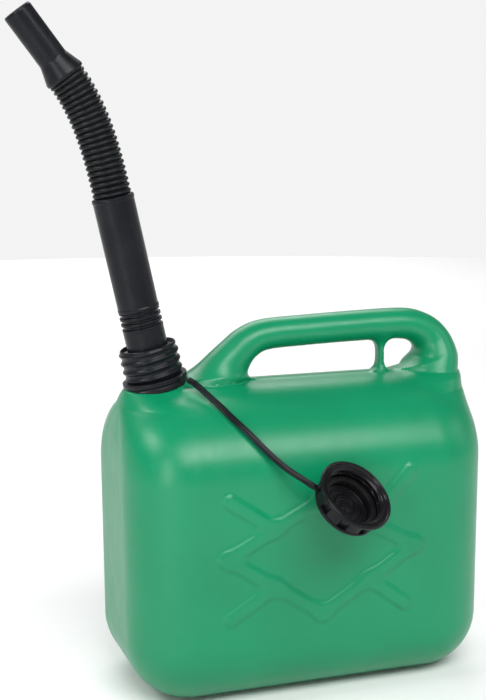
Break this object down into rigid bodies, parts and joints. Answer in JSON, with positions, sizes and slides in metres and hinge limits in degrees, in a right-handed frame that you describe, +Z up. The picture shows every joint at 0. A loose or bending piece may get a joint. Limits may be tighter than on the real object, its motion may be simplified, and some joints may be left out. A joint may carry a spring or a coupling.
{
  "type": "fuel can with flexible spout",
  "caption": "Moulded plastic fuel can with a through handle, a leaning screw neck, a bendable pouring spout and a tethered screw cap.",
  "frame": {"origin": "centre of the base, on the ground", "axes": "+Z up, +X from the neck's end to the handle's far end, -Y out of the face with the hanging cap"},
  "size_m": [0.3086, 0.1898, 0.4471],
  "materials": {
    "green_plastic": "satin moulded polyethylene",
    "black_plastic": "satin moulded polyethylene",
    "hose_plastic": "satin corrugated polyethylene",
    "seal_rubber": "matt rubber"
  },
  "bodies": {
    "can": {"can_body": "green_plastic"},
    "seal": {"neck_seal": "seal_rubber"},
    "collar": {"spout_collar": "black_plastic"},
    "spout": {"spout_base": "black_plastic", "spout_sleeve": "black_plastic"},
    "hose_01": {"hose_segment_01": "hose_plastic"},
    "hose_02": {"hose_segment_02": "hose_plastic"},
    "hose_03": {"hose_segment_03": "hose_plastic"},
    "hose_04": {"hose_segment_04": "hose_plastic"},
    "hose_05": {"hose_segment_05": "hose_plastic"},
    "hose_06": {"hose_segment_06": "hose_plastic"},
    "hose_07": {"hose_segment_07": "hose_plastic"},
    "hose_08": {"hose_segment_08": "hose_plastic"},
    "hose_09": {"hose_segment_09": "hose_plastic"},
    "hose_10": {"hose_segment_10": "hose_plastic"},
    "nozzle": {"spout_nozzle": "black_plastic"},
    "tether": {"tether_ring": "black_plastic"},
    "strap": {"tether_strap": "black_plastic", "cap_loop": "black_plastic"},
    "cap": {"screw_cap": "black_plastic", "cap_seal": "seal_rubber"}
  },
  "joints": [
    {"name": "spout_lift", "type": "slide", "parent": "can", "child": "seal", "axis": [-0.2079, 0, 0.9781], "range_m": [0, 0.01]},
    {"name": "collar_turn", "type": "hinge", "parent": "seal", "child": "collar", "pos_m": [-0.0945, 0, 0.2095], "axis": [-0.2079, 0, 0.9781], "range_deg": [0, 900]},
    {"name": "spout_swivel", "type": "hinge", "parent": "seal", "child": "spout", "pos_m": [-0.0945, 0, 0.2095], "axis": [-0.2079, 0, 0.9781], "continuous": true},
    {"name": "hose_bend", "type": "hinge", "parent": "spout", "child": "hose_01", "pos_m": [-0.12065, 0, 0.33255], "axis": [0, -1, 0], "range_deg": [-8, 5]},
    {"name": "hose_sway", "type": "hinge", "parent": "hose_01", "child": "hose_02", "pos_m": [-0.1222, 0, 0.33958], "axis": [0.9739, 0, 0.2269], "range_deg": [-7, 7]},
    {"name": "hose_bend_03", "type": "hinge", "parent": "hose_02", "child": "hose_03", "pos_m": [-0.12383, 0, 0.3466], "axis": [0, -1, 0], "range_deg": [-8, 5]},
    {"name": "hose_sway_04", "type": "hinge", "parent": "hose_03", "child": "hose_04", "pos_m": [-0.1256, 0, 0.35357], "axis": [0.9626, 0, 0.2708], "range_deg": [-7, 7]},
    {"name": "hose_bend_05", "type": "hinge", "parent": "hose_04", "child": "hose_05", "pos_m": [-0.12755, 0, 0.36051], "axis": [0, -1, 0], "range_deg": [-8, 5]},
    {"name": "hose_sway_06", "type": "hinge", "parent": "hose_05", "child": "hose_06", "pos_m": [-0.12972, 0, 0.36737], "axis": [0.9409, 0, 0.3387], "range_deg": [-7, 7]},
    {"name": "hose_bend_07", "type": "hinge", "parent": "hose_06", "child": "hose_07", "pos_m": [-0.13216, 0, 0.37415], "axis": [0, -1, 0], "range_deg": [-8, 5]},
    {"name": "hose_sway_08", "type": "hinge", "parent": "hose_07", "child": "hose_08", "pos_m": [-0.1349, 0, 0.3808], "axis": [0.9036, 0, 0.4284], "range_deg": [-7, 7]},
    {"name": "hose_bend_09", "type": "hinge", "parent": "hose_08", "child": "hose_09", "pos_m": [-0.13799, 0, 0.38731], "axis": [0, -1, 0], "range_deg": [-8, 5]},
    {"name": "hose_sway_10", "type": "hinge", "parent": "hose_09", "child": "hose_10", "pos_m": [-0.14145, 0, 0.39362], "axis": [0.8442, 0, 0.5361], "range_deg": [-7, 7]},
    {"name": "hose_bend_11", "type": "hinge", "parent": "hose_10", "child": "nozzle", "pos_m": [-0.14531, 0, 0.3997], "axis": [0, -1, 0], "range_deg": [-8, 5]},
    {"name": "tether_swivel", "type": "hinge", "parent": "can", "child": "tether", "pos_m": [-0.0945, 0, 0.2095], "axis": [-0.2079, 0, 0.9781], "range_deg": [-75, 0]},
    {"name": "tether_lift", "type": "hinge", "parent": "tether", "child": "strap", "pos_m": [-0.0776, -0.0202, 0.2113], "axis": [-0.723, -0.6909, 0], "range_deg": [0, 60]},
    {"name": "cap_spin", "type": "hinge", "parent": "strap", "child": "cap", "pos_m": [0.003, -0.089, 0.1352], "axis": [0.2903, -0.6407, 0.7108], "continuous": true}
  ],
  "couplings": [
    {"joint": "collar_turn", "follows": "spout_lift", "rad_per_m": 1570.8},
    {"joint": "hose_bend_03", "follows": "hose_bend", "ratio": 1},
    {"joint": "hose_sway_04", "follows": "hose_sway", "ratio": 1},
    {"joint": "hose_bend_05", "follows": "hose_bend", "ratio": 1},
    {"joint": "hose_sway_06", "follows": "hose_sway", "ratio": 1},
    {"joint": "hose_bend_07", "follows": "hose_bend", "ratio": 1},
    {"joint": "hose_sway_08", "follows": "hose_sway", "ratio": 1},
    {"joint": "hose_bend_09", "follows": "hose_bend", "ratio": 1},
    {"joint": "hose_sway_10", "follows": "hose_sway", "ratio": 1},
    {"joint": "hose_bend_11", "follows": "hose_bend", "ratio": 1}
  ]
}
